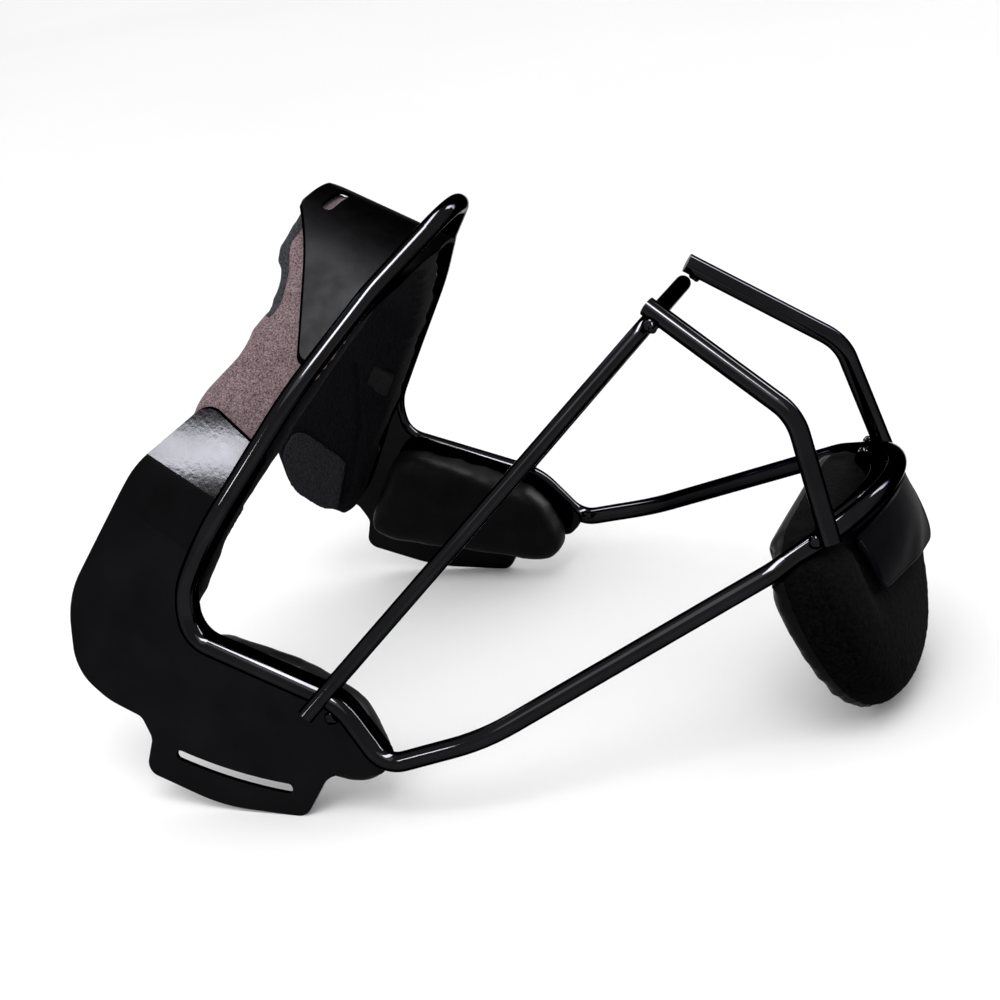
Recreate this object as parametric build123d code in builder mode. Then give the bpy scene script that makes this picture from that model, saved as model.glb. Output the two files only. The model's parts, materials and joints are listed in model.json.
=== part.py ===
"""Softball fielder's face guard: wire cage, temple and forehead plates, headband and chin cushion.

The guard is drawn as it is worn: x to the wearer's right, y forward and z up, from the lower
end of the strap lugs. The finished pieces are then tipped forward into the pose in which the
guard lies on a table, on its two strap lugs and the rear edge of the chin cushion.
"""
import os
from math import asin, atan2, cos, degrees, radians, sin, sqrt, tan

from build123d import *

os.makedirs("parts", exist_ok=True)

# Overall sizes of the worn guard, in millimetres
half_width = 90.0  # middle of the face to the cage rod beside the cheek
reach = 160.0  # strap lugs forward to the peak of the brow rod
height = 100.0  # strap lugs up to the top of the headband
rest_tilt = 54.23  # degrees that the guard is tipped forward when it lies down

# Cage wire
rod_diameter = 6.0
nose_rod_diameter = 5.0
rod_touch_gap = 0.05  # between rods that are welded side by side
brow_peak_radius = 20.0
brow_bend_radius = 60.0
temple_bend_radius = 22.0
temple_kink_radius = 10.0
cheek_bend_radius = 20.0
lug_bend_radius = 9.0
jaw_bend_radius = 60.0
chin_join_radius = 22.0
nose_bend_radius = 7.0
upright_bend_radius = 16.0
foot_half_angle = 49.5  # degrees from the middle of the chin ring to the uprights' feet
foot_drop = 1.4  # how far the feet end below the ring's plane
foot_bite = 0.5  # how deep the feet are pressed on to the outside of the rods
nose_rod_bite = 0.25  # how deep the nose bar is pressed on to the perimeter rod

# Chin ring, in its own sloping plane
ring_radius = 46.0
ring_slope = 31.2  # degrees below level, towards the front
ring_half_angle = 46.2  # degrees from the middle to each end of the outer rod
inner_ring_half_angle = 42.0
ring_straight_run = 20.0  # straight wire between the ring and the jaw bend

# Shells of the plates and of the headband
shell_lean = 7.0  # degrees that the sides draw in with height
rod_seat_gap = 0.35  # between a rod and the plate that it lies on
plate_thickness = 1.5
pad_seat_gap = 0.3  # between a plate and the padding inside it
plan_side_radius = 60.0
plan_front_radius = 49.6
strap_slot_length = 40.0
strap_slot_width = 3.0
strap_slot_bow = 1.1
strap_slot_angle = 67.6  # degrees below level, forward end down
crown_slot_length = 19.0
crown_slot_width = 3.6

# Headband layers, from the outside in
cover_thickness = 1.2
foam_thickness = 9.6
lining_thickness = 2.2
edge_height = 4.0
panel_thickness = 1.6
channel_width = 1.8
channel_depth = 1.1
patch_width = 11.0
patch_height = 8.0
patch_thickness = 1.0

# Temple pads
pad_thickness = 14.0
pad_roundness = 5.0
pad_back_roundness = 1.5

# Chin cushion
cushion_setback = 35.7  # from the front of the chin ring back to the cushion's widest line
cushion_rise = 5.6  # from the front of the chin ring up to the same line
cushion_half_width = 49.0
cushion_upper_length = 18.8
cushion_lower_length = 47.6
cushion_slope = 53.3  # degrees below level, towards the throat
cushion_wall = 4.5
cushion_crown = 16.5
upper_fullness = 5.2  # exponent of the outline's boxy upper half
lower_fullness = 2.1  # exponent of its oval lower half
crown_fullness = 3.4  # exponent of the crown's upper half and of its fall to the sides
lower_crown_fullness = 2.1  # exponent of the crown's lower half
cushion_tilt = 8.0  # degrees that the cushion tilts down from the ring, about the ring's front

# Chin tab
tab_width = 50.0
tab_thickness = 1.6
tab_rod_gap = 0.3
tab_hinge_gap = 1.2
tab_root_depth = 24.0  # how far the root reaches back under the ring, to the cushion
tab_end_drop = 9.0  # how far below the cushion's widest line the flap ends
piping_diameter = 2.2
piping_gap = 0.5  # between the crown and the piping

# Weld beads
bead_radius = 2.6

# Places on the cage as shares of half_width, reach and height
brow_peak_share = (0.0, 1.0, 0.573)
brow_flank_share = (0.367, 0.808, 0.626)
brow_side_share = (0.672, 0.634, 0.643)
brow_rear_share = (0.9, 0.3625, 0.644)
jaw_share = (0.978, 0.347, -0.37)
nose_corner_share = (0.249, 1.014, -0.121)
upright_top_share = (0.244, 1.0488, -0.098)
upright_bend_share = (0.361, 1.0488, -0.625)
ring_front_share = (0.0, 0.9656, -0.96)

# Places on the sides as shares of reach and height
temple_upper_share = (0.2375, 0.625)
temple_lower_share = (0.169, 0.535)
cheek_share = (0.249, 0.045)
lug_bend_share = (0.204, -0.165)
nose_end_share = (0.207, 0.107)
strap_slot_share = (-0.0194, 0.227)
patch_share = (0.34, 0.66)

# Level outline of the rod line at brow height, as shares of half_width and reach
plan_rear_share = (1.022, -0.26)
plan_side_share = (0.9, 0.3625)
plan_cheek_share = (0.672, 0.634)
plan_peak_share = (0.0, 1.0156)
brow_level_share = 0.64
shell_base_share = -0.32
shell_top_share = 1.12
crown_slot_level_share = 0.917

# Side outlines: shares of reach, of height, and of height for the corner's radius
temple_plate_shares = [
    (0.531, 0.855, 0.06),
    (0.516, 0.612, 0.025),
    (0.244, 0.6, 0.07),
    (0.185, 0.525, 0.09),
    (0.266, 0.045, 0.2),
    (0.219, -0.183, 0.05),
    (0.169, -0.165, 0.04),
    (0.101, -0.03, 0.08),
    (0.0, -0.035, 0.05),
    (-0.094, 0.205, 0.6),
    (-0.138, 0.47, 0.04),
    (-0.072, 0.503, 0.04),
    (-0.049, 0.565, 0.04),
    (-0.064, 0.68, 0.2),
    (-0.059, 0.82, 0.16),
    (0.0625, 0.952, 0.3),
    (0.375, 0.948, 0.3),
]
headband_shares = [
    (1.0, 0.998, 0.0),
    (0.762, 0.982, 0.08),
    (0.691, 0.862, 0.14),
    (0.606, 0.832, 0.2),
    (0.4, 0.938, 0.25),
    (0.206, 0.96, 0.4),
    (0.05, 0.955, 0.25),
    (-0.066, 0.83, 0.14),
    (-0.072, 0.67, 0.2),
    (-0.06, 0.56, 0.03),
    (-0.02, 0.545, 0.04),
    (0.1625, 0.575, 0.6),
    (0.386, 0.6, 0.6),
    (1.0, 0.605, 0.0),
]
panel_shares = [
    (-0.05, 0.65, 0.06),
    (-0.03, 0.6, 0.03),
    (0.1, 0.645, 0.04),
    (0.118, 0.86, 0.05),
    (0.03, 0.87, 0.1),
    (-0.045, 0.78, 0.1),
]
channel_shares = [
    (0.345, 0.76),
    (0.2, 0.655),
    (0.02, 0.6),
]

# Pad outline on the sloping side plane, as shares of reach, height and height
temple_pad_shares = [
    (-0.047, 0.505, 0.06),
    (-0.039, 0.38, 0.18),
    (0.066, 0.035, 0.4),
    (0.1125, -0.145, 0.1),
    (0.1875, -0.185, 0.07),
    (0.241, 0.0, 0.14),
    (0.228, 0.21, 0.4),
    (0.16, 0.53, 0.05),
]

# Front outline of the forehead plate, right half: shares of half_width, height and height
forehead_shares = [
    (0.122, 0.99, 0.04),
    (0.578, 0.672, 0.04),
    (0.49, 0.625, 0.06),
    (0.25, 0.575, 0.2),
]
forehead_low_share = 0.56

rod_radius = rod_diameter / 2
nose_rod_radius = nose_rod_diameter / 2
lean_slope = tan(radians(shell_lean))
side_flare = (plan_rear_share[0] - plan_side_share[0]) * half_width
side_length = (plan_side_share[1] - plan_rear_share[1]) * reach


def at(share):
    """Point of the worn guard from shares of half_width, reach and height."""
    return Vector(share[0] * half_width, share[1] * reach, share[2] * height)


def side_x(forward, up):
    """Distance from the middle to the rod line on the side of the guard."""
    slope = side_flare / side_length
    from_corner = plan_side_share[1] * reach - forward
    below_brow = brow_level_share * height - up
    lean = below_brow * lean_slope * sqrt(1 + slope**2)
    return plan_side_share[0] * half_width + from_corner * slope + lean


def on_side(share):
    """Point on the side's rod line from shares of reach and height."""
    forward = share[0] * reach
    up = share[1] * height
    return Vector(side_x(forward, up), forward, up)


def mirrored(points):
    """The same points on the wearer's left, in the opposite order."""
    return [Vector(-point.X, point.Y, point.Z) for point in reversed(points)]


# The chin ring's plane: local x to the right, local y forward along the slope
ring_normal = Vector(0, sin(radians(ring_slope)), cos(radians(ring_slope)))
ring_plane = Plane(origin=at(ring_front_share), x_dir=(1, 0, 0), z_dir=ring_normal)


def ring_point(radius, angle):
    """Point of the chin ring, at an angle in degrees from its front."""
    across = radius * sin(radians(angle))
    forward = radius * cos(radians(angle)) - ring_radius
    return ring_plane.from_local_coords(Vector(across, forward, 0))


def ring_direction(angle):
    """Direction of the ring's wire, going away from the front."""
    tangent = Vector(cos(radians(angle)), -sin(radians(angle)), 0)
    return ring_plane.from_local_coords(tangent) - ring_plane.origin


def rod(path, radius):
    """Round wire along a path, added to the current part."""
    with BuildSketch(Plane(origin=path @ 0, z_dir=path % 0)) as section:
        Circle(radius)
    sweep(section.sketch, path=path)


# Perimeter rod: from the right foot over the brow to the left foot
with BuildPart() as perimeter_rod:
    foot = ring_point(ring_radius, ring_half_angle)
    run_end = foot + ring_direction(ring_half_angle) * ring_straight_run
    right_side = [
        foot,
        run_end,
        at(jaw_share),
        on_side(lug_bend_share),
        on_side(cheek_share),
        on_side(temple_lower_share),
        on_side(temple_upper_share),
        at(brow_rear_share),
        at(brow_side_share),
        at(brow_flank_share),
    ]
    right_radii = [
        chin_join_radius,
        jaw_bend_radius,
        lug_bend_radius,
        cheek_bend_radius,
        temple_kink_radius,
        temple_bend_radius,
        brow_bend_radius,
        brow_bend_radius,
        brow_bend_radius,
    ]
    route = right_side + [at(brow_peak_share)] + mirrored(right_side)
    bends = right_radii + [brow_peak_radius] + right_radii[::-1]
    with BuildLine() as perimeter_path:
        FilletPolyline(*route, radius=bends)
    rod(perimeter_path.line, rod_radius)

# Chin ring: two rods side by side in one sloping plane
with BuildPart() as chin_rod_outer:
    with BuildLine() as outer_path:
        ThreePointArc(
            ring_point(ring_radius, -ring_half_angle),
            ring_point(ring_radius, 0),
            ring_point(ring_radius, ring_half_angle),
        )
    rod(outer_path.line, rod_radius)

inner_ring_radius = ring_radius - rod_diameter - rod_touch_gap
with BuildPart() as chin_rod_inner:
    with BuildLine() as inner_path:
        ThreePointArc(
            ring_point(inner_ring_radius, -inner_ring_half_angle),
            ring_point(inner_ring_radius, 0),
            ring_point(inner_ring_radius, inner_ring_half_angle),
        )
    rod(inner_path.line, rod_radius)

# Nose bar: thinner wire from temple to temple, notched where it crosses the perimeter rod
nose_end = on_side(nose_end_share) + Vector(rod_radius + nose_rod_radius - nose_rod_bite, 0, 0)
with BuildPart() as nose_bar:
    nose_half = [nose_end, at(nose_corner_share)]
    with BuildLine() as nose_path:
        FilletPolyline(*nose_half, *mirrored(nose_half), radius=nose_bend_radius)
    rod(nose_path.line, nose_rod_radius)
    add(perimeter_rod.part, mode=Mode.SUBTRACT)

# Uprights: from the nose bar's corners down past the outside of the chin ring's ends
foot_radius = ring_radius + rod_diameter - foot_bite
with BuildPart() as right_upright:
    with BuildLine() as upright_path:
        FilletPolyline(
            at(upright_top_share),
            at(upright_bend_share),
            ring_point(foot_radius, foot_half_angle) - ring_normal * foot_drop,
            radius=upright_bend_radius,
        )
    rod(upright_path.line, rod_radius)
    for neighbour in (perimeter_rod, chin_rod_outer, chin_rod_inner, nose_bar):
        add(neighbour.part, mode=Mode.SUBTRACT)

with BuildPart() as left_upright:
    mirror(right_upright.part, about=Plane.YZ)


def head_solid(inset):
    """Tapered solid whose wall lies a given distance inside the rod line, leaning in with height."""
    base_level = shell_base_share * height
    spread = (brow_level_share * height - base_level) * lean_slope - inset
    corners = [plan_rear_share, plan_side_share, plan_cheek_share]
    right = [(x * half_width, y * reach) for x, y in corners]
    left = [(-x, y) for x, y in reversed(right)]
    front = [(plan_peak_share[0] * half_width, plan_peak_share[1] * reach)]
    side_radii = [plan_side_radius, plan_side_radius]
    with BuildPart() as solid:
        with BuildSketch(Plane.XY.offset(base_level)):
            with BuildLine():
                radii = side_radii + [plan_front_radius] + side_radii
                wall = FilletPolyline(*right, *front, *left, radius=radii)
                Line(wall @ 1, wall @ 0)
            make_face()
            offset(amount=spread)
        extrude(amount=(shell_top_share - shell_base_share) * height, taper=shell_lean)
    return solid.part


def shell(inset, thickness):
    """Wall of a given thickness, whose outer face lies a given distance inside the rod line."""
    return head_solid(inset) - head_solid(inset + thickness)


def side_corners(shares):
    """Corners and radii of a side outline from its table of shares."""
    corners = [(forward * reach, up * height) for forward, up, _ in shares]
    radii = [corner * height for _, _, corner in shares]
    return corners, radii


def side_face(shares):
    """Closed outline with rounded corners, added to the current sketch."""
    corners, radii = side_corners(shares)
    with BuildLine() as outline:
        FilletPolyline(*corners, radius=radii, close=True)
    make_face(outline.edges())


plate_inset = rod_radius + rod_seat_gap
padding_inset = plate_inset + plate_thickness + pad_seat_gap
side_reach = 1.3 * half_width

# Temple plates with their strap lugs and slightly bowed strap slots
slot_y = strap_slot_share[0] * reach
slot_z = strap_slot_share[1] * height
half_run = (strap_slot_length - strap_slot_width) / 2
run_y = half_run * cos(radians(strap_slot_angle))
run_z = half_run * sin(radians(strap_slot_angle))
bow_y = strap_slot_bow * sin(radians(strap_slot_angle))
bow_z = strap_slot_bow * cos(radians(strap_slot_angle))
slot_line = ThreePointArc(
    (slot_y - run_y, slot_z + run_z),
    (slot_y - bow_y, slot_z - bow_z),
    (slot_y + run_y, slot_z - run_z),
)

with BuildPart() as right_temple_plate:
    add(shell(plate_inset, plate_thickness))
    with BuildSketch(Plane.YZ):
        side_face(temple_plate_shares)
        SlotArc(slot_line, height=strap_slot_width, mode=Mode.SUBTRACT)
    extrude(amount=side_reach, mode=Mode.INTERSECT)

with BuildPart() as left_temple_plate:
    mirror(right_temple_plate.part, about=Plane.YZ)

# Forehead plate with a strap slot near its top
with BuildPart() as forehead_plate:
    add(shell(plate_inset, plate_thickness))
    with BuildSketch(Plane.XZ):
        half = [(x * half_width, z * height) for x, z, _ in forehead_shares]
        half_radii = [corner * height for _, _, corner in forehead_shares]
        other_half = [(-x, z) for x, z in reversed(half)]
        low = [(0, forehead_low_share * height)]
        low_radius = [half_radii[-1]]
        radii = half_radii + low_radius + half_radii[::-1]
        with BuildLine():
            FilletPolyline(*half, *low, *other_half, radius=radii, close=True)
        make_face()
        with Locations((0, crown_slot_level_share * height)):
            SlotOverall(crown_slot_length, crown_slot_width, mode=Mode.SUBTRACT)
    extrude(amount=-side_reach * 2, mode=Mode.INTERSECT)


def band_layer(inset, thickness, drop):
    """Layer of the headband, whose upper edge lies a given distance below the band's."""
    corners, radii = side_corners(headband_shares)
    with BuildPart() as layer:
        add(shell(inset, thickness))
        for lowering in {0, drop}:
            lowered = [(y, z - lowering) for y, z in corners]
            with BuildSketch(Plane.YZ):
                with BuildLine():
                    FilletPolyline(*lowered, radius=radii, close=True)
                make_face()
            extrude(amount=side_reach, both=True, mode=Mode.INTERSECT)
    return layer.part


foam_inset = padding_inset + cover_thickness
lining_inset = foam_inset + foam_thickness
panel_inset = lining_inset + lining_thickness
band_thickness = cover_thickness + foam_thickness + lining_thickness

# Headband: heather cover, foam core and ribbed lining, closed by a rolled knit edge on top
with BuildPart() as headband_cover:
    add(band_layer(padding_inset, cover_thickness, edge_height))

with BuildPart() as headband_foam:
    add(band_layer(foam_inset, foam_thickness, edge_height))

# A pressed channel runs down each side of the lining
channel_line = Polyline(*[(y * reach, z * height) for y, z in channel_shares])
with BuildPart() as channels:
    add(shell(panel_inset - channel_depth, channel_depth * 2))
    with BuildSketch(Plane.YZ):
        offset(channel_line, amount=channel_width / 2, side=Side.BOTH)
        make_face()
    extrude(amount=side_reach, both=True, mode=Mode.INTERSECT)

with BuildPart() as headband_lining:
    add(band_layer(lining_inset, lining_thickness, edge_height))
    add(channels.part, mode=Mode.SUBTRACT)

with BuildPart() as headband_edge:
    add(band_layer(padding_inset, band_thickness, 0))
    add(band_layer(padding_inset, band_thickness, edge_height), mode=Mode.SUBTRACT)

# Raised lining panels near the ends of the headband
with BuildPart() as right_lining_panel:
    add(shell(panel_inset, panel_thickness))
    with BuildSketch(Plane.YZ):
        side_face(panel_shares)
    extrude(amount=side_reach, mode=Mode.INTERSECT)

with BuildPart() as left_lining_panel:
    mirror(right_lining_panel.part, about=Plane.YZ)

# Small hook patches on the lining
with BuildPart() as right_hook_patch:
    add(shell(panel_inset, patch_thickness))
    with BuildSketch(Plane.YZ):
        with Locations((patch_share[0] * reach, patch_share[1] * height)):
            RectangleRounded(patch_width, patch_height, patch_thickness)
    extrude(amount=side_reach, mode=Mode.INTERSECT)

with BuildPart() as left_hook_patch:
    mirror(right_hook_patch.part, about=Plane.YZ)

# Temple pads: flat-backed cushions on the sloping inside of the temple plates
side_angle = atan2(side_flare, side_length)
side_along = Vector(-sin(side_angle), cos(side_angle), 0)
side_level_out = Vector(cos(side_angle), sin(side_angle), 0)
side_out = side_level_out * cos(radians(shell_lean)) + Vector(0, 0, sin(radians(shell_lean)))
pad_origin = Vector(side_x(0, 0), 0, 0) - side_level_out * padding_inset
pad_plane = Plane(origin=pad_origin, x_dir=side_along, z_dir=side_out)

with BuildPart() as right_temple_pad:
    with BuildSketch(pad_plane):
        side_face(temple_pad_shares)
    extrude(amount=-pad_thickness)
    fillet(faces().sort_by(Axis(pad_plane.origin, side_out))[0].edges(), radius=pad_roundness)
    fillet(faces().sort_by(Axis(pad_plane.origin, side_out))[-1].edges(), radius=pad_back_roundness)

with BuildPart() as left_temple_pad:
    mirror(right_temple_pad.part, about=Plane.YZ)

# Chin cushion: egg-shaped, sloping from the chin down to the throat, with the ring pressed in
slope_down = Vector(0, -cos(radians(cushion_slope)), -sin(radians(cushion_slope)))
slope_out = Vector(0, sin(radians(cushion_slope)), -cos(radians(cushion_slope)))
cushion_centre = at(ring_front_share) + Vector(0, -cushion_setback, cushion_rise)
station_shares = (-0.998, -0.97, -0.88, -0.7, -0.4, 0.0, 0.4, 0.7, 0.88, 0.97, 0.998)
corner_arc_share = (0.9, 0.7)


def fall(share, fullness):
    """Share of a full size that is left at a share of the way out, on an oval of an exponent."""
    return (1 - abs(share) ** fullness) ** (1 / fullness)


def cushion_span(station):
    """Middle and half length of the cushion's section at a station, measured down the slope."""
    lower = cushion_lower_length * fall(station, lower_fullness)
    upper = cushion_upper_length * fall(station, upper_fullness)
    return (lower - upper) / 2, (lower + upper) / 2


def cushion_point(station, share):
    """Point on the crown of the section at a station, at a share of its half length."""
    middle, half_length = cushion_span(station)
    fullness = lower_crown_fullness if share > 0 else crown_fullness
    crown = cushion_crown * fall(station, crown_fullness) * fall(share, fullness)
    return (middle + share * half_length, cushion_wall + crown)


def cushion_section_plane(station):
    """Plane of a cross-section: local x down the slope, local y outward."""
    origin = cushion_centre + Vector(station * cushion_half_width, 0, 0)
    return Plane(origin=origin, x_dir=slope_down, z_dir=(1, 0, 0))


foot_back = ring_direction(ring_half_angle)
inner_end = ring_point(ring_radius - rod_radius, inner_ring_half_angle)
ring_bead = inner_end + foot_back * bead_radius + ring_normal
foot_bead = ring_point(ring_radius + rod_radius, foot_half_angle) + foot_back * rod_radius + ring_normal


# Seats that the rods and beads press into the cushion, open towards the side that it tilts from
pressed_in = []
for path in (perimeter_path, outer_path, inner_path):
    with BuildPart() as seat:
        rod(path.line, rod_radius + pad_seat_gap)
    pressed_in.append(seat.part)
for bead in (ring_bead, foot_bead):
    for side in (1, -1):
        with BuildPart() as seat:
            with Locations(Vector(side * bead.X, bead.Y, bead.Z)):
                Sphere(bead_radius + pad_seat_gap)
        pressed_in.append(seat.part)
tilt_axis = Axis(ring_plane.origin, (1, 0, 0))
tilt_shares = (0.0, 0.2, 0.4, 0.6, 0.8, 1.0)
ring_seats = [part.rotate(tilt_axis, -cushion_tilt * share) for part in pressed_in for share in tilt_shares]

with BuildPart() as chin_pad_base:
    for station in station_shares:
        upper = cushion_point(station, -1)
        lower = cushion_point(station, 1)
        with BuildSketch(cushion_section_plane(station)):
            with BuildLine():
                Polyline((upper[0], 0), upper, lower, (lower[0], 0), close=True)
            make_face()
    loft()
    for seat in ring_seats:
        add(seat, mode=Mode.SUBTRACT)

with BuildPart() as chin_pad_cushion:
    for station in station_shares:
        upper = [cushion_point(station, -share) for share in (1, *corner_arc_share)]
        lower = [cushion_point(station, share) for share in (1, *corner_arc_share)]
        with BuildSketch(cushion_section_plane(station)):
            with BuildLine():
                ThreePointArc(*upper)
                ThreePointArc(upper[-1], cushion_point(station, 0), lower[-1])
                ThreePointArc(*lower)
                Line(lower[0], upper[0])
            make_face()
    loft()
    for seat in ring_seats:
        add(seat, mode=Mode.SUBTRACT)

# Chin tab: a stiff root under the chin ring and a flap that bends down on to the cushion
tab_level = rod_radius + tab_rod_gap + tab_thickness
root_radius = ring_radius - tab_thickness / 2 - tab_hinge_gap
root_half_angle = degrees(asin(tab_width / 2 / root_radius))
with BuildPart() as chin_tab_root:
    with BuildSketch(ring_plane.offset(-tab_level)):
        with BuildLine():
            front_arc = CenterArc((0, -ring_radius), root_radius, 90 - root_half_angle, root_half_angle * 2)
            rear_right = (tab_width / 2, -tab_root_depth)
            rear_left = (-tab_width / 2, -tab_root_depth)
            Polyline(front_arc @ 1, rear_left, rear_right, front_arc @ 0)
        make_face()
    extrude(amount=tab_thickness)
    add(chin_pad_cushion.part, mode=Mode.SUBTRACT)
    add(chin_pad_base.part, mode=Mode.SUBTRACT)

# The flap's upper edge follows the outer rod from below, and its piped lower edge lies on the crown
tab_half_angle = degrees(asin(tab_width / 2 / ring_radius))
under_rod = ring_normal * (tab_thickness / 2 - tab_level)
piping_seat = slope_out * (piping_gap + piping_diameter / 2)


def tab_end(x):
    """Point of the flap's lower edge at a distance from the middle."""
    station = x / cushion_half_width
    middle, half_length = cushion_span(station)
    share = (tab_end_drop - middle) / half_length
    return cushion_section_plane(station).from_local_coords(cushion_point(station, share)) + piping_seat


tab_angles = (-tab_half_angle, 0, tab_half_angle)
tab_stations = (-tab_width / 2, 0, tab_width / 2)
tab_top_line = ThreePointArc(*[ring_point(ring_radius, angle) + under_rod for angle in tab_angles])
tab_end_line = ThreePointArc(*[tab_end(x) for x in tab_stations])
tab_face = Face.make_surface_from_curves(tab_top_line, tab_end_line)

with BuildPart() as chin_tab_piping:
    rod(tab_end_line, piping_diameter / 2)

with BuildPart() as chin_tab_flap:
    thicken(tab_face, amount=tab_thickness / 2, both=True)
    add(chin_tab_piping.part, mode=Mode.SUBTRACT)


def weld(centre, joined):
    """Weld bead in the corner between the rods that it joins."""
    with BuildPart() as bead:
        with Locations(centre):
            Sphere(bead_radius)
        for neighbour in joined:
            add(neighbour.part, mode=Mode.SUBTRACT)
    return bead.part.solids().sort_by(SortBy.VOLUME)[-1]


# Weld beads where the rods meet
nose_run = (at(nose_corner_share) - nose_end).normalized()
bead_places = {
    "nose_weld": (
        (at(upright_top_share) + at(nose_corner_share)) / 2 + Vector(rod_radius, 0, -rod_radius),
        (right_upright, nose_bar),
    ),
    "foot_weld": (
        foot_bead,
        (right_upright, perimeter_rod),
    ),
    "ring_weld": (
        ring_bead,
        (chin_rod_inner, chin_rod_outer, perimeter_rod, right_upright),
    ),
    "temple_weld": (
        nose_end + nose_run * rod_radius - Vector(nose_rod_radius, 0, rod_diameter),
        (nose_bar, perimeter_rod),
    ),
}
welds = {}
for bead_name, (centre, joined) in bead_places.items():
    with BuildPart() as right_weld:
        add(weld(centre, joined))
    with BuildPart() as left_weld:
        mirror(right_weld.part, about=Plane.YZ)
    welds["right_" + bead_name] = right_weld
    welds["left_" + bead_name] = left_weld

pieces = {
    "perimeter_rod": perimeter_rod,
    "chin_rod_outer": chin_rod_outer,
    "chin_rod_inner": chin_rod_inner,
    "nose_bar": nose_bar,
    "right_upright": right_upright,
    "left_upright": left_upright,
    "right_temple_plate": right_temple_plate,
    "left_temple_plate": left_temple_plate,
    "forehead_plate": forehead_plate,
    "headband_cover": headband_cover,
    "headband_foam": headband_foam,
    "headband_lining": headband_lining,
    "headband_edge": headband_edge,
    "right_lining_panel": right_lining_panel,
    "left_lining_panel": left_lining_panel,
    "right_hook_patch": right_hook_patch,
    "left_hook_patch": left_hook_patch,
    "right_temple_pad": right_temple_pad,
    "left_temple_pad": left_temple_pad,
    "chin_pad_base": chin_pad_base,
    "chin_pad_cushion": chin_pad_cushion,
    "chin_tab_root": chin_tab_root,
    "chin_tab_flap": chin_tab_flap,
    "chin_tab_piping": chin_tab_piping,
    **welds,
}

# Lay the guard down: tip it forward and put the middle of its footprint at the origin
lying = Location((0, 0, 0), (rest_tilt, 0, 0))
whole = Compound([piece.part.moved(lying) for piece in pieces.values()])
box = whole.bounding_box()
to_origin = Location((-box.center().X, -box.center().Y, -box.min.Z))
for name, piece in pieces.items():
    piece.part.label = name
    stood = piece.part.moved(to_origin * lying)
    stood.label = name
    export_step(stood, f"parts/{name}.step")
print("overall size", box.size)
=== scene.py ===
"""Softball fielder's face guard, dressed for a studio photograph.

Lengths in the scene are metres. Worn coordinates are millimetres along the axes of the guard as it
is worn, and a line seen from the side is a list of (forward, up) points in worn coordinates.
"""
import json
import math

import bmesh
import bpy
from mathutils import Matrix, Vector
from mathutils import noise as fractal
from mathutils.bvhtree import BVHTree


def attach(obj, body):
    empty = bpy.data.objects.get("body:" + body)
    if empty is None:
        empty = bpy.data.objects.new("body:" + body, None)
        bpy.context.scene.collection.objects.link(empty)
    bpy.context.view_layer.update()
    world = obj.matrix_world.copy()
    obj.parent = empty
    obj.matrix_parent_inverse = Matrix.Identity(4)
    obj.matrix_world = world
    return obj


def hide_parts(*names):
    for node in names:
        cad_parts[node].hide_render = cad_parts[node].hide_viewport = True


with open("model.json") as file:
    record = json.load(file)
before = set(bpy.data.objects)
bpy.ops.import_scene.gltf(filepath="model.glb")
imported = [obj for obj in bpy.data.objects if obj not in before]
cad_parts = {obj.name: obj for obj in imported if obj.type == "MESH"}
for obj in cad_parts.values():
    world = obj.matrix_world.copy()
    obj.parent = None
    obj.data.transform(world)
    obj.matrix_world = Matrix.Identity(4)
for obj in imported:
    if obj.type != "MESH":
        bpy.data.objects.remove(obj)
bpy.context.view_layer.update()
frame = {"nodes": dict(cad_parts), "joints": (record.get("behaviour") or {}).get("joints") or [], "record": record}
nodes = frame["nodes"]
scene = bpy.context.scene

# The worn guard's axes in the scene: x to the wearer's right, forward and up
MM = 0.001
REST_TILT = math.radians(54.23)
RIGHT = Vector((1, 0, 0))
FORWARD = Vector((0, math.cos(REST_TILT), math.sin(REST_TILT)))
UP = Vector((0, -math.sin(REST_TILT), math.cos(REST_TILT)))
RING_FRONT = Vector((0, 154.5, -96.0))
joints = {joint["name"]: joint for joint in frame["joints"]}
ring_place = Vector(joints["chin_cushion_tilt"]["pos_m"])
ORIGIN = ring_place - (FORWARD * RING_FRONT.y + UP * RING_FRONT.z) * MM


def worn(x, forward, up):
    """Point of the scene from worn coordinates."""
    return ORIGIN + (RIGHT * x + FORWARD * forward + UP * up) * MM


def worn_coordinates(point):
    """Worn coordinates of a point of the scene."""
    offset = (point - ORIGIN) / MM
    return Vector((offset.dot(RIGHT), offset.dot(FORWARD), offset.dot(UP)))


# Camera, in worn coordinates
CAMERA_PLACE = (616.8, 429.2, -64.9)
CAMERA_LOOK = Vector((-0.863, -0.496, 0.094))
CAMERA_UP = Vector((-0.378, 0.758, 0.532))
FOCAL_SHARE = 2.25
SENSOR = 36.0
CLIP_NEAR, CLIP_FAR = 0.01, 20


def scene_direction(worn_direction):
    """Unit vector of the scene from a direction in worn coordinates."""
    return (RIGHT * worn_direction.x + FORWARD * worn_direction.y + UP * worn_direction.z).normalized()


def place_camera():
    """Camera at the photograph's viewpoint."""
    look = scene_direction(CAMERA_LOOK)
    side = look.cross(scene_direction(CAMERA_UP)).normalized()
    camera = bpy.data.objects.new("camera", bpy.data.cameras.new("camera"))
    scene.collection.objects.link(camera)
    camera.data.sensor_width = SENSOR
    camera.data.lens = FOCAL_SHARE * SENSOR
    camera.data.clip_start = CLIP_NEAR
    camera.data.clip_end = CLIP_FAR
    camera.rotation_mode = "QUATERNION"
    camera.rotation_quaternion = Matrix((side, side.cross(look), -look)).transposed().to_quaternion()
    camera.location = worn(*CAMERA_PLACE)
    scene.camera = camera


place_camera()


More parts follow.
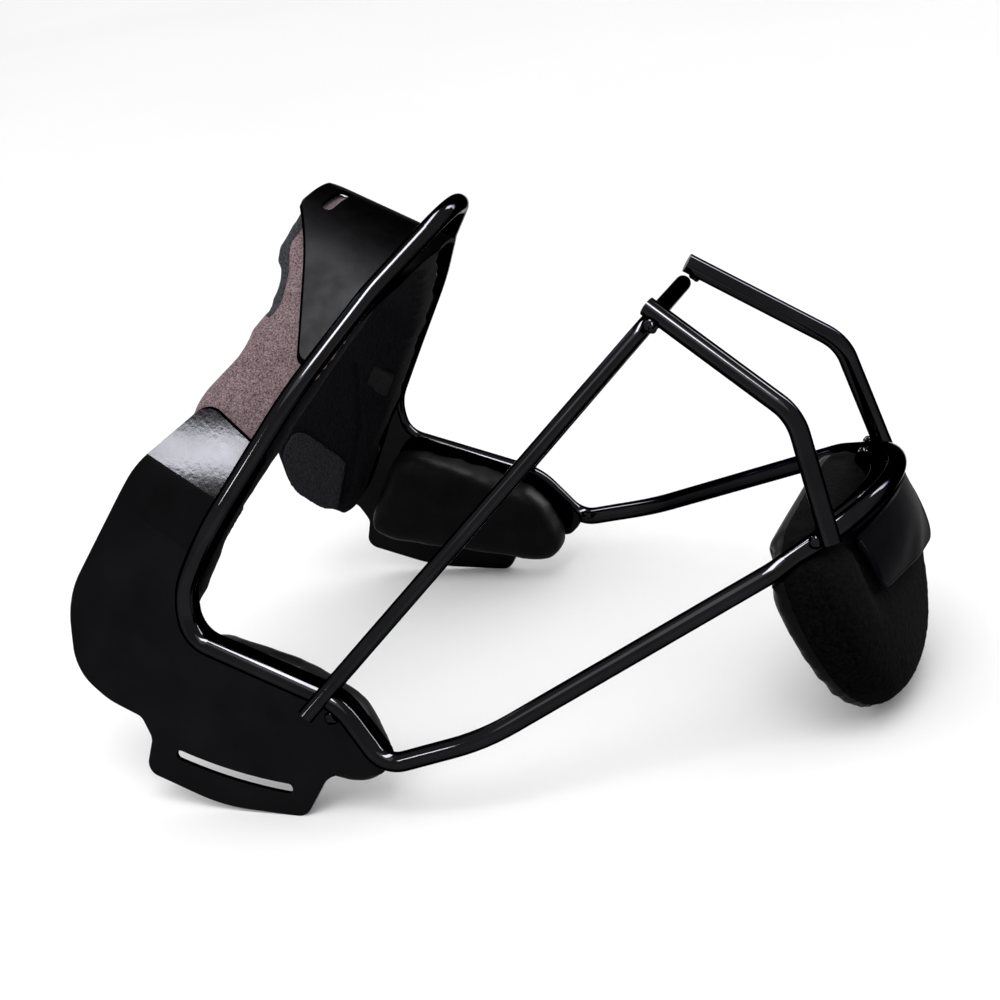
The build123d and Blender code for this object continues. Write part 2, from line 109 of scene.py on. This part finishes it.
# Materials
class Look:
    """Node material under construction, with its pattern in the scene's metres."""

    def __init__(self, name):
        self.material = bpy.data.materials.new(name)
        self.material.use_nodes = True
        self.tree = self.material.node_tree
        self.shader = self.tree.nodes["Principled BSDF"]
        self.place = self.node("ShaderNodeTexCoord").outputs["Object"]

    def node(self, kind, inputs=None, **settings):
        """New node with its settings and the values of its inputs."""
        added = self.tree.nodes.new(kind)
        for key, value in settings.items():
            setattr(added, key, value)
        for key, value in (inputs or {}).items():
            added.inputs[key].default_value = value
        return added

    def link(self, source, target):
        """Link from one socket to another."""
        self.tree.links.new(source, target)

    def drive(self, source, socket):
        """Link from a socket to one of the shader's."""
        self.link(source, self.shader.inputs[socket])

    def set(self, values):
        """Values of the shader's own sockets."""
        for socket, value in values.items():
            self.shader.inputs[socket].default_value = value

    def noise(self, scale, detail=3.0, rough=0.5):
        """Noise texture."""
        made = self.node("ShaderNodeTexNoise", {"Scale": scale, "Detail": detail, "Roughness": rough})
        self.link(self.place, made.inputs["Vector"])
        return made.outputs["Fac"]

    def wave(self, rotation, inputs):
        """Wave texture along a turned axis."""
        turn = self.node("ShaderNodeMapping", {"Rotation": rotation})
        self.link(self.place, turn.inputs["Vector"])
        made = self.node("ShaderNodeTexWave", inputs)
        self.link(turn.outputs["Vector"], made.inputs["Vector"])
        return made.outputs["Fac"]

    def ramp(self, source, low, high, low_place=0.3, high_place=0.7):
        """Colour ramp between two colours."""
        made = self.node("ShaderNodeValToRGB")
        for element, place, colour in zip(made.color_ramp.elements, (low_place, high_place), (low, high)):
            element.position = place
            element.color = (*colour, 1)
        self.link(source, made.inputs["Fac"])
        return made.outputs["Color"]

    def spread(self, source, low, high):
        """Value mapped from 0..1 to a range."""
        made = self.node("ShaderNodeMapRange", {"To Min": low, "To Max": high})
        self.link(source, made.inputs["Value"])
        return made.outputs["Result"]

    def bump(self, source, height, strength=1.0, before=None):
        """Bump on the shader's normal, after an earlier bump."""
        made = self.node("ShaderNodeBump", {"Distance": height, "Strength": strength})
        self.link(source, made.inputs["Height"])
        if before:
            self.link(before, made.inputs["Normal"])
        self.drive(made.outputs["Normal"], "Normal")
        return made.outputs["Normal"]


def lighter(colour, lift=0.0):
    """Colour half as bright again, plus a lift."""
    return [channel * 1.5 + lift for channel in colour]


def coated_metal(name, shine, roughness, peel, edge):
    """Powder-coated metal: black gloss, faint orange peel and a little dust."""
    look = Look(name)
    dust = look.noise(scale=60, detail=6)
    look.drive(look.ramp(dust, shine, lighter(shine)), "Base Color")
    smears = look.noise(scale=220, detail=4)
    look.drive(look.spread(smears, roughness * 0.8, roughness * 1.3), "Roughness")
    look.set({"Metallic": 1.0, "Specular Tint": (edge, edge, edge, 1)})
    look.bump(look.noise(scale=700, detail=2), height=0.00004, strength=peel)
    return look.material


def heather(name):
    """Maroon-grey heather jersey: mottled fibres and a fine diagonal twill."""
    look = Look(name)
    fibre = look.noise(scale=1900, detail=5, rough=0.75)
    cloud = look.noise(scale=260, detail=4, rough=0.6)
    base = look.ramp(fibre, (0.035, 0.026, 0.028), (0.36, 0.275, 0.295), 0.38, 0.68)
    tint = look.ramp(cloud, (0.75, 0.68, 0.68), (1.05, 1.0, 1.0))
    mix = look.node("ShaderNodeMix", {"Factor": 1.0}, data_type="RGBA", blend_type="MULTIPLY")
    look.link(base, mix.inputs["A"])
    look.link(tint, mix.inputs["B"])
    look.drive(mix.outputs["Result"], "Base Color")
    twill = look.wave((0.7, 0.5, 0.6), {"Scale": 330.0, "Distortion": 1.5, "Detail": 2.0})
    look.set({"Roughness": 0.85, "Specular IOR Level": 0.02})
    look.set({"Sheen Weight": 0.04, "Sheen Roughness": 0.5})
    ridges = look.bump(twill, height=0.00012, strength=0.5)
    look.bump(fibre, height=0.00015, strength=0.6, before=ridges)
    return look.material


def cloth(name, low, high, scale, rib=None, sheen=0.05, rough=0.85, height=0.0002):
    """Dark fabric: mottled colour, fibre bump and an optional rib."""
    look = Look(name)
    fibre = look.noise(scale, detail=5, rough=0.7)
    look.drive(look.ramp(fibre, low, high, 0.35, 0.7), "Base Color")
    look.set({"Roughness": rough, "Specular IOR Level": 0.01})
    look.set({"Sheen Weight": sheen, "Sheen Roughness": 0.45})
    ribs = None
    if rib:
        wave = look.wave(rib["rotation"], {"Scale": rib["scale"], "Distortion": 0.4})
        ribs = look.bump(wave, rib["height"], strength=0.7)
    look.bump(fibre, height, strength=0.7, before=ribs)
    return look.material


def skin(name, colour, rough, gloss, grain=900, grain_height=0.00008):
    """Smooth moulded or coated skin with a faint grain and soft wrinkles."""
    look = Look(name)
    cloud = look.noise(scale=90, detail=5)
    look.drive(look.ramp(cloud, colour, lighter(colour, lift=0.001)), "Base Color")
    look.drive(look.spread(cloud, rough * 0.85, rough * 1.15), "Roughness")
    look.set({"Specular IOR Level": gloss})
    creases = look.bump(look.noise(scale=130), height=0.0003, strength=0.35)
    look.bump(look.noise(grain), grain_height, strength=0.6, before=creases)
    return look.material


LINING_RIB = dict(rotation=(0.0, 0.3, 0.9), scale=420.0, height=0.00012)
KNIT_RIB = dict(rotation=(0.5, 0.4, 0.2), scale=380.0, height=0.0001)
RECIPES = {
    "coated_wire": (coated_metal, dict(shine=(0.009, 0.009, 0.0098), roughness=0.07, peel=0.2, edge=0.1)),
    "coated_plate": (coated_metal, dict(shine=(0.0045, 0.0045, 0.005), roughness=0.07, peel=0.2,
                                        edge=0.06)),
    "brow_plate": (coated_metal, dict(shine=(0.0015, 0.0015, 0.0016), roughness=0.4, peel=0.5,
                                      edge=0.12)),
    "heather_jersey": (heather, {}),
    "foam": (cloth, dict(low=(0.008, 0.008, 0.009), high=(0.02, 0.02, 0.022), scale=1500)),
    "ribbed_lining": (cloth, dict(low=(0.0006, 0.0006, 0.0008), high=(0.0065, 0.0065, 0.008), scale=1700,
                                  rib=LINING_RIB, sheen=0.008)),
    # Panel face lighter than the ribbed lining: partly its own colour, partly painted light for the light its
    # raised face catches
    "panel_face_painted_light": (cloth, dict(low=(0.0035, 0.0035, 0.0043), high=(0.024, 0.024, 0.029), scale=1700,
                               rib=LINING_RIB, sheen=0.01)),
    "grey_knit": (cloth, dict(low=(0.012, 0.012, 0.014), high=(0.06, 0.062, 0.068), scale=1500,
                              rib=KNIT_RIB, sheen=0.02)),
    "hook_tape": (cloth, dict(low=(0.002, 0.002, 0.002), high=(0.012, 0.012, 0.013), scale=2200,
                              sheen=0.03, rough=0.8, height=0.0005)),
    "pad_skin": (skin, dict(colour=(0.0018, 0.0018, 0.0022), rough=0.4, gloss=0.02)),
    "black_fleece": (cloth, dict(low=(0.0001, 0.0001, 0.0001), high=(0.003, 0.003, 0.0035), scale=900,
                                 sheen=0.0, rough=0.95, height=0.0004)),
    "vinyl": (skin, dict(colour=(0.0009, 0.0009, 0.0017), rough=0.4, gloss=0.005, grain=1100,
                         grain_height=0.00005)),
}
looks = {name: recipe(name, **values) for name, (recipe, values) in RECIPES.items()}
node_slots = {entry["node"]: entry["material_slot"] for entry in frame["record"]["subparts"]}
for name, node in nodes.items():
    node.data.materials.clear()
    node.data.materials.append(looks[node_slots[name]])


# Mesh tools
def mesh_object(name, mesh, body, slot, replaced):
    """New piece in the place of CAD nodes, riding on a body."""
    piece = bpy.data.objects.new(name, mesh)
    scene.collection.objects.link(piece)
    mesh.materials.clear()
    mesh.materials.append(looks[slot])
    for polygon in mesh.polygons:
        polygon.use_smooth = True
        polygon.material_index = 0
    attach(piece, body)
    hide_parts(*replaced)
    return piece


def joined(*sources):
    """Copy of CAD nodes as one mesh."""
    built = bmesh.new()
    for source in sources:
        built.from_mesh(nodes[source].data)
    mesh = bpy.data.meshes.new("joined")
    built.to_mesh(mesh)
    built.free()
    return mesh


def modified(mesh, kind, **settings):
    """Mesh with one modifier applied."""
    holder = bpy.data.objects.new("holder", mesh)
    scene.collection.objects.link(holder)
    modifier = holder.modifiers.new(kind, kind)
    for key, value in settings.items():
        setattr(modifier, key, value)
    depsgraph = bpy.context.evaluated_depsgraph_get()
    result = bpy.data.meshes.new_from_object(holder.evaluated_get(depsgraph))
    bpy.data.objects.remove(holder)
    bpy.data.meshes.remove(mesh)
    return result


def remeshed(mesh, voxel):
    """Mesh rebuilt in voxels of one size."""
    return modified(mesh, "REMESH", mode="VOXEL", voxel_size=voxel)


def subdivided(mesh):
    """Mesh subdivided once."""
    return modified(mesh, "SUBSURF", levels=1)


def smoothed(mesh, times):
    """Mesh with its points evened out."""
    return modified(mesh, "SMOOTH", iterations=times, factor=0.5)


def tree_of(*names):
    """Search tree over the surfaces of CAD nodes."""
    points, faces = [], []
    for name in names:
        mesh = nodes[name].data
        base = len(points)
        points += [vertex.co.copy() for vertex in mesh.vertices]
        faces += [[base + corner for corner in polygon.vertices] for polygon in mesh.polygons]
    return BVHTree.FromPolygons(points, faces)


def away(tree, point):
    """Distance of a point from a tree's surface."""
    return tree.find_nearest(point)[3]


def ease(value, low, high):
    """Smooth step from 0 at low to 1 at high."""
    share = min(max((value - low) / (high - low), 0), 1)
    return share * share * (3 - 2 * share)


def line_distance(worn_point, line):
    """Distance in millimetres from a line, seen from the side."""
    place = Vector((worn_point.y, worn_point.z))
    distances = []
    for start, end in zip(line, line[1:]):
        start, end = Vector(start), Vector(end)
        run = end - start
        share = min(max((place - start).dot(run) / run.dot(run), 0), 1)
        distances.append((place - start - run * share).length)
    return min(distances)


def wrinkle(point, size=0.03, height=0.0003):
    """Height of a fabric unevenness at a point."""
    return fractal.noise(point / size) * height


def pressed(mesh, depth_at):
    """Mesh with each point moved inward by a depth."""
    moves = [vertex.normal * depth_at(vertex.co) for vertex in mesh.vertices]
    for vertex, move in zip(mesh.vertices, moves):
        vertex.co -= move
    mesh.update()
    return mesh


def pushed(mesh, direction, height_at):
    """Mesh with each point moved along a direction by a height."""
    for vertex in mesh.vertices:
        vertex.co += direction * height_at(vertex.co)
    return mesh


# A mesh is drawn in by this many metres before it swells
DRAWN = 0.0006
SIMULATION_FRAMES = 20
CLOTH_SETTINGS = dict(quality=4, mass=0.2, use_pressure=True, tension_stiffness=25,
                      compression_stiffness=25, shear_stiffness=10, bending_stiffness=0.6)


def puffed_points(mesh, pressure):
    """Points of a mesh after a cloth simulation under pressure."""
    holder = bpy.data.objects.new("holder", mesh)
    scene.collection.objects.link(holder)
    simulation = holder.modifiers.new("cloth", "CLOTH")
    for key, value in CLOTH_SETTINGS.items():
        setattr(simulation.settings, key, value)
    simulation.settings.uniform_pressure_force = pressure
    simulation.settings.effector_weights.gravity = 0
    simulation.collision_settings.use_collision = False
    simulation.point_cache.frame_start = 1
    simulation.point_cache.frame_end = SIMULATION_FRAMES
    for frame_number in range(1, SIMULATION_FRAMES + 1):
        scene.frame_set(frame_number)
    depsgraph = bpy.context.evaluated_depsgraph_get()
    points = [vertex.co.copy() for vertex in holder.evaluated_get(depsgraph).data.vertices]
    scene.frame_set(1)
    bpy.data.objects.remove(holder)
    return points


def swollen(mesh, pressure, cap, hard, reach=(0.0006, 0.006)):
    """Mesh puffed up by cloth pressure, up to a cap, and held back where hard pieces lie near it."""
    rest = [vertex.co.copy() for vertex in mesh.vertices]
    normals = [vertex.normal.copy() for vertex in mesh.vertices]
    free = [ease(away(hard, point), *reach) for point in rest]
    for vertex, normal, share in zip(mesh.vertices, normals, free):
        vertex.co -= normal * DRAWN * share
    puffed = puffed_points(mesh, pressure)
    drift = sum((new - old for new, old in zip(puffed, rest)), Vector()) / len(rest)
    for vertex, old, new, share in zip(mesh.vertices, rest, puffed, free):
        move = (new - old - drift) * share
        if move.length > cap:
            move *= cap / move.length
        vertex.co = old + move
    mesh.update()
    return mesh


# A cut stays this share of an edge away from the edge's ends
CUT_MARGIN = 0.03


def cut_along(mesh, field):
    """Two meshes, where the field is above zero and below it, cut along its zero line."""
    built = bmesh.new()
    built.from_mesh(mesh)
    value = {vertex: field(vertex.co) for vertex in built.verts}
    fresh = set()
    for edge in list(built.edges):
        first, second = edge.verts
        if (value[first] > 0) != (value[second] > 0):
            share = value[first] / (value[first] - value[second])
            share = min(max(share, CUT_MARGIN), 1 - CUT_MARGIN)
            middle = bmesh.utils.edge_split(edge, first, share)[1]
            value[middle] = 0
            fresh.add(middle)
    for face in list(built.faces):
        ends = [vertex for vertex in face.verts if vertex in fresh]
        if len(ends) == 2:
            bmesh.utils.face_split(face, *ends)
    sums = [sum(value[vertex] for vertex in face.verts) for face in built.faces]
    halves = []
    for above in (True, False):
        half = built.copy()
        half.faces.ensure_lookup_table()
        wrong = [half.faces[number] for number, total in enumerate(sums) if (total > 0) != above]
        bmesh.ops.delete(half, geom=wrong, context="FACES")
        result = bpy.data.meshes.new("half")
        half.to_mesh(result)
        half.free()
        halves.append(result)
    built.free()
    bpy.data.meshes.remove(mesh)
    return halves


def softened(node, name, body, voxel, times):
    """Thin soft piece with rounded edges in the place of a CAD node."""
    mesh = smoothed(remeshed(joined(node), voxel), times)
    return mesh_object(name, mesh, body, node_slots[node], (node,))


# Headband: heather outside, rolled knit edge on top, ribbed lining inside
BAND_PRESSURE = 3.0
PAST_ROD = FORWARD * 0.37 - UP * 0.93
# Metres
BAND_VOXEL = 0.0035
BAND_SWELL = 0.0018
BAND_WRINKLE = 0.018
ROLL_SEAM = 0.001
CROWN = 0.0035
COVER_BIAS = 0.0075
WRAP = 0.007
ROD_REACH = 0.014
CHANNEL_DEPTH = 0.0014
# Worn millimetres
BAND_TOP = [(160, 99.8), (121.9, 98.2), (110.6, 86.2), (97, 83.2), (64, 93.8), (33, 96), (8, 95.5),
            (-10.6, 83), (-11.5, 67), (-9.6, 56)]
ROLL_WIDTH = 5.4
ROLL_TAPER = (102, 122)
ROLL_INSET = 0.4
ROLL_SEAM_HALF = 2
CROWN_RISE, CROWN_FALL = (76, 86), (106, 118)
CROWN_REACH = 12
WRAP_REACH = 9
CHANNEL = [(55.2, 76.0), (32.0, 65.5), (3.2, 60.0)]
CHANNEL_HALF = 1.6
band_hard = tree_of("right_temple_plate", "left_temple_plate", "forehead_plate", "perimeter_rod")
cover_tree = tree_of("headband_cover")
lining_tree = tree_of("headband_lining")
rod_tree = tree_of("perimeter_rod")


def edge_field(point):
    """Above zero on the knit roll along the band's upper edge, in millimetres."""
    place = worn_coordinates(point)
    return ROLL_WIDTH * ease(place.y, *ROLL_TAPER) - line_distance(place, BAND_TOP) - ROLL_INSET


def outside_field(point):
    """Above zero on the outside of the band and over its top, behind the perimeter rod."""
    nearest, _, _, distance = rod_tree.find_nearest(point)
    behind = (nearest - point).dot(PAST_ROD) if distance < ROD_REACH else 1
    wrapped = WRAP * (1 - ease(line_distance(worn_coordinates(point), BAND_TOP), 0, WRAP_REACH))
    return min(away(lining_tree, point) - away(cover_tree, point) - COVER_BIAS + wrapped, behind)


def crown_height(point):
    """Fullness of the band's upper edge between the tongues and the brow."""
    place = worn_coordinates(point)
    along = ease(place.y, *CROWN_RISE) * (1 - ease(place.y, *CROWN_FALL))
    return CROWN * along * (1 - ease(line_distance(place, BAND_TOP), 0, CROWN_REACH))


def roll_seam_depth(point):
    """Depth of the seam along the knit roll and of the band's wrinkles."""
    from_seam = min(abs(edge_field(point)) / ROLL_SEAM_HALF, 1)
    return ROLL_SEAM * (1 - from_seam) ** 2 + wrinkle(point, BAND_WRINKLE)


def channel_depth(point):
    """Depth of the channel pressed into the lining."""
    from_channel = line_distance(worn_coordinates(point), CHANNEL)
    return CHANNEL_DEPTH * max(0, 1 - from_channel / CHANNEL_HALF) ** 1.5


def make_headband():
    """Headband's cover, knit roll and lining, with the panels and hook patches on the lining."""
    band = joined("headband_cover", "headband_foam", "headband_lining", "headband_edge")
    band = smoothed(remeshed(band, BAND_VOXEL), 4)
    band = subdivided(smoothed(swollen(band, BAND_PRESSURE, BAND_SWELL, band_hard), 2))
    band = pushed(pressed(band, roll_seam_depth), UP, crown_height)
    knit, rest = cut_along(band, edge_field)
    outside, inside = cut_along(rest, outside_field)
    inside = pressed(subdivided(inside), channel_depth)
    mesh_object("headband_heather_cover", outside, "guard", "heather_jersey",
                ("headband_cover", "headband_foam"))
    mesh_object("headband_rolled_edge", knit, "guard", "grey_knit", ("headband_edge",))
    mesh_object("headband_ribbed_lining", inside, "guard", "ribbed_lining", ("headband_lining",))
    for side in ("right", "left"):
        panel = softened(f"{side}_lining_panel", f"{side}_quilted_panel", "guard", 0.0008, 4)
        # The panels get a colour lighter than the lining, partly painted light for the light their raised faces
        # catch
        panel.data.materials[0] = looks["panel_face_painted_light"]
        softened(f"{side}_hook_patch", f"{side}_hook_tape_patch", "guard", 0.0005, 3)


# Temple pads: their front edges bulge past the perimeter rod
PAD_PRESSURE = 4.0
PAD_OUT = FORWARD * 0.94 + UP * 0.34
# Metres
PAD_VOXEL = 0.003
PAD_SWELL = 0.0018
PAD_BULGE = 0.0035
# Worn millimetres
PAD_FRONT = [(38.6, -4), (38.6, 0), (36.5, 21), (25.6, 53)]
PAD_BULGE_REACH = 12


def pad_bulge(point):
    """How far a temple pad's front edge bulges at a point."""
    near_edge = 1 - ease(line_distance(worn_coordinates(point), PAD_FRONT), 0, PAD_BULGE_REACH)
    return near_edge * PAD_BULGE


def make_temple_pads():
    """Right and left temple pad."""
    for side in ("right", "left"):
        hard = tree_of(f"{side}_temple_plate", "perimeter_rod", "nose_bar")
        pad = smoothed(remeshed(joined(f"{side}_temple_pad"), PAD_VOXEL), 4)
        pad = subdivided(smoothed(swollen(pad, PAD_PRESSURE, PAD_SWELL, hard), 3))
        pad = pushed(pressed(pad, wrinkle), PAD_OUT, pad_bulge)
        mesh_object(f"{side}_temple_cushion", pad, "guard", "pad_skin", (f"{side}_temple_pad",))


# Chin cushion: fleece over a smooth wall
CUSHION_PRESSURE = 3.0
# Metres
CUSHION_VOXEL = 0.0024
CUSHION_SWELL = 0.0014
CUSHION_REACH = (0.0004, 0.007)
FULLNESS = 0.0019
FULLNESS_REACH = (0.003, 0.009)
WALL_SEAM = 0.0009
FLEECE_GRAIN, FLEECE_HEIGHT = 0.0014, 0.0002
# Worn millimetres
CUSHION_CENTRE = RING_FRONT + Vector((0, -35.7, 5.6))
CUSHION_SLOPE = math.radians(53.3)
CUSHION_OUT = Vector((0, math.sin(CUSHION_SLOPE), -math.cos(CUSHION_SLOPE)))
WALL_HEIGHT = 4.5
WALL_SEAM_HALF = 1.8
chin_hard = tree_of("perimeter_rod", "chin_rod_outer", "chin_rod_inner", "chin_tab_root", "chin_tab_flap",
                    "right_upright", "left_upright")


def above_wall(point):
    """Height in millimetres above the seam between the wall and the fleece."""
    return (worn_coordinates(point) - CUSHION_CENTRE).dot(CUSHION_OUT) - WALL_HEIGHT


def wall_seam_depth(point):
    """Depth of the seam round the wall and of the cushion's wrinkles."""
    from_seam = abs(above_wall(point)) / WALL_SEAM_HALF
    return WALL_SEAM * max(0, 1 - from_seam) ** 2 + wrinkle(point)


def make_chin_cushion():
    """Chin cushion's fleece and its wall."""
    chin = smoothed(remeshed(joined("chin_pad_base", "chin_pad_cushion"), CUSHION_VOXEL), 2)
    chin = swollen(chin, CUSHION_PRESSURE, CUSHION_SWELL, chin_hard, CUSHION_REACH)
    chin = subdivided(smoothed(chin, 2))
    chin = pressed(chin, lambda point: -FULLNESS * ease(away(chin_hard, point), *FULLNESS_REACH))
    chin = pressed(smoothed(chin, 12), wall_seam_depth)
    fleece, wall = cut_along(chin, above_wall)
    fleece = pressed(subdivided(fleece), lambda point: wrinkle(point, FLEECE_GRAIN, FLEECE_HEIGHT))
    mesh_object("chin_cushion_fleece", fleece, "chin_cushion", "black_fleece", ("chin_pad_cushion",))
    mesh_object("chin_cushion_wall", wall, "chin_cushion", "pad_skin", ("chin_pad_base",))


# Chin tab: a vinyl sheet that bends out from under the ring, with a bound edge
COLUMNS, ROWS = 60, 40
END_CROWDING = 1.6
SIDE_STEPS, SIDE_USED = 12, 9
CORNER_STEPS, CORNER_SHARE = 6, 0.22
END_STEPS = 14
RIDGE_PLACE, RIDGE_WIDTH = -0.2, 0.35
# Metres
TAB_WRINKLE = 0.011
BINDING_RADIUS = 0.0009
# Worn millimetres
TAB_HALF = 25.0
TAB_LENGTH = 24.0
TAB_CORNER = 5.5
TAB_THICKNESS = 1.5
TAB_SWELL = 1.2
RIDGE_HEIGHT = 0.8
TOP_POINTS = [Vector((-25.0, 146.05, -95.68)), Vector((0.0, 151.4, -99.3)), Vector((25.2, 141.8, -95.9))]
END_POINTS = [Vector((-25.3, 131.9, -117.2)), Vector((0.0, 132.8, -114.6)), Vector((25.3, 132.2, -110.6))]


def bowed(points, share):
    """Point of the bow through three points, at a share from -1 to 1."""
    left, middle, right = points
    return middle + (right - left) / 2 * share + ((left + right) / 2 - middle) * share**2


def tab_point(across, down):
    """Middle of the vinyl sheet in worn coordinates, from -1 to 1 across and 0 to 1 down."""
    from_end = (1 - down) * TAB_LENGTH
    half = TAB_HALF
    if from_end < TAB_CORNER:
        half = TAB_HALF - TAB_CORNER + math.sqrt(max(TAB_CORNER**2 - (TAB_CORNER - from_end) ** 2, 0))
    share = across * half / TAB_HALF
    swell = math.sin(math.pi * down) * TAB_SWELL
    ridge = RIDGE_HEIGHT * math.exp(-((share - RIDGE_PLACE) / RIDGE_WIDTH) ** 2) * down
    middle = bowed(TOP_POINTS, share).lerp(bowed(END_POINTS, share), down)
    return middle + CUSHION_OUT * (swell + ridge)


def tab_sheet():
    """Vinyl sheet as a grid of faces, closer together near its end."""
    built = bmesh.new()
    rows = []
    for row in range(ROWS + 1):
        down = 1 - (1 - row / ROWS) ** END_CROWDING
        points = [worn(*tab_point(-1 + 2 * column / COLUMNS, down)) for column in range(COLUMNS + 1)]
        rows.append([built.verts.new(point) for point in points])
    for upper, lower in zip(rows, rows[1:]):
        for column in range(COLUMNS):
            built.faces.new((upper[column], upper[column + 1], lower[column + 1], lower[column]))
    mesh = bpy.data.meshes.new("tab")
    built.to_mesh(mesh)
    built.free()
    return mesh


def tab_side(across):
    """Points down one side of the sheet and round its corner."""
    straight = [tab_point(across, step / SIDE_STEPS) for step in range(1, SIDE_USED + 1)]
    steps = range(1, CORNER_STEPS + 1)
    corner = [tab_point(across, 1 - (1 - step / CORNER_STEPS) ** 2 * CORNER_SHARE) for step in steps]
    return straight + corner


def tube_mesh(name, points, radius):
    """Round tube along a smooth line of points."""
    curve = bpy.data.curves.new(name, "CURVE")
    curve.dimensions = "3D"
    curve.bevel_depth = radius
    curve.bevel_resolution = 4
    curve.resolution_u = 6
    curve.use_fill_caps = True
    spline = curve.splines.new("NURBS")
    spline.points.add(len(points) - 1)
    for place, point in zip(spline.points, points):
        place.co = (*point, 1)
    spline.order_u = 3
    spline.use_endpoint_u = True
    holder = bpy.data.objects.new(name, curve)
    scene.collection.objects.link(holder)
    depsgraph = bpy.context.evaluated_depsgraph_get()
    mesh = bpy.data.meshes.new_from_object(holder.evaluated_get(depsgraph))
    bpy.data.objects.remove(holder)
    return mesh


def make_chin_tab():
    """Vinyl flap with its root and its bound edge."""
    sheet = modified(tab_sheet(), "SOLIDIFY", thickness=TAB_THICKNESS * MM, offset=0.0)
    sheet = pressed(sheet, lambda point: wrinkle(point, TAB_WRINKLE))
    mesh_object("chin_tab_vinyl_flap", sheet, "chin_flap", "vinyl", ("chin_tab_flap",))
    softened("chin_tab_root", "chin_tab_vinyl_root", "chin_cushion", 0.0006, 3)
    end = [tab_point(1 - 2 * step / END_STEPS, 1) for step in range(1, END_STEPS)]
    outline = [worn(*point) for point in tab_side(1) + end + tab_side(-1)[::-1]]
    binding = tube_mesh("chin_tab_binding", outline, BINDING_RADIUS)
    mesh_object("chin_tab_binding", binding, "chin_flap", "vinyl", ("chin_tab_piping",))


# Weld beads: lumpy fillets in the place of the plain beads
BEAD_VOXEL = 0.0005
BEAD_GRAIN = 0.0016
BEAD_LUMP = 0.0006
BEAD_DRAWN = 0.0002


def make_weld_beads():
    """Bead at each weld."""
    for weld in [name for name in nodes if name.endswith("_weld")]:
        bead = smoothed(remeshed(joined(weld), BEAD_VOXEL), 6)
        bead = pressed(bead, lambda point: wrinkle(point, BEAD_GRAIN, BEAD_LUMP) + BEAD_DRAWN)
        mesh_object(weld + "_bead", bead, "guard", "coated_wire", (weld,))


make_headband()
make_temple_pads()
make_chin_cushion()
make_chin_tab()
make_weld_beads()

# Floor and light
FLOOR_HALF = 6.0
SKY_STRENGTH = 0.95
GUARD_MIDDLE = (0, 0, 0.08)
TONGUE_MIDDLE = (0.0676, -0.0723, 0.109)


def make_floor():
    """Pale paper floor."""
    corners = [(-FLOOR_HALF, -FLOOR_HALF, 0), (FLOOR_HALF, -FLOOR_HALF, 0),
               (FLOOR_HALF, FLOOR_HALF, 0), (-FLOOR_HALF, FLOOR_HALF, 0)]
    mesh = bpy.data.meshes.new("floor")
    mesh.from_pydata(corners, [], [(0, 1, 2, 3)])
    floor = bpy.data.objects.new("floor", mesh)
    scene.collection.objects.link(floor)
    look = Look("paper")
    cloud = look.noise(scale=3, detail=2)
    look.drive(look.ramp(cloud, (0.93, 0.93, 0.93), (0.95, 0.95, 0.95)), "Base Color")
    look.set({"Roughness": 0.9, "Specular IOR Level": 0.0})
    mesh.materials.append(look.material)


def make_sky():
    """Even white light from all round."""
    world = bpy.data.worlds.new("studio")
    scene.world = world
    world.use_nodes = True
    background = world.node_tree.nodes["Background"]
    background.inputs["Color"].default_value = (1, 1, 1, 1)
    background.inputs["Strength"].default_value = SKY_STRENGTH


def softbox(name, place, aim, width, height, watts):
    """Rectangular area light."""
    data = bpy.data.lights.new(name, "AREA")
    data.shape = "RECTANGLE"
    data.size = width
    data.size_y = height
    data.energy = watts
    lamp = bpy.data.objects.new(name, data)
    lamp.location = place
    lamp.rotation_mode = "QUATERNION"
    lamp.rotation_quaternion = (Vector(aim) - Vector(place)).to_track_quat("-Z", "Y")
    scene.collection.objects.link(lamp)
    return lamp


def make_lights():
    """One large box for the whole scene, and boxes that only draw bright lines on the coated metal."""
    softbox("key", (0.9, 0.2, 1.4), GUARD_MIDDLE, width=1.0, height=1.0, watts=12)
    reflected = [
        softbox("overhead_strip", (0.15, 0.05, 1.3), GUARD_MIDDLE, width=0.3, height=1.4, watts=120),
        softbox("rim_strip", (-0.9, 0.9, 0.8), GUARD_MIDDLE, width=0.25, height=1.2, watts=80),
        softbox("back_strip", (-0.5, -1.2, 0.8), GUARD_MIDDLE, width=0.2, height=1.0, watts=50),
        softbox("tongue_box", (0.453, -0.167, 0.32), TONGUE_MIDDLE, width=0.06, height=0.022, watts=0.45),
    ]
    for lamp in reflected:
        lamp.visible_diffuse = False
        lamp.visible_camera = False


make_floor()
make_sky()
make_lights()
scene.view_settings.view_transform = "Standard"
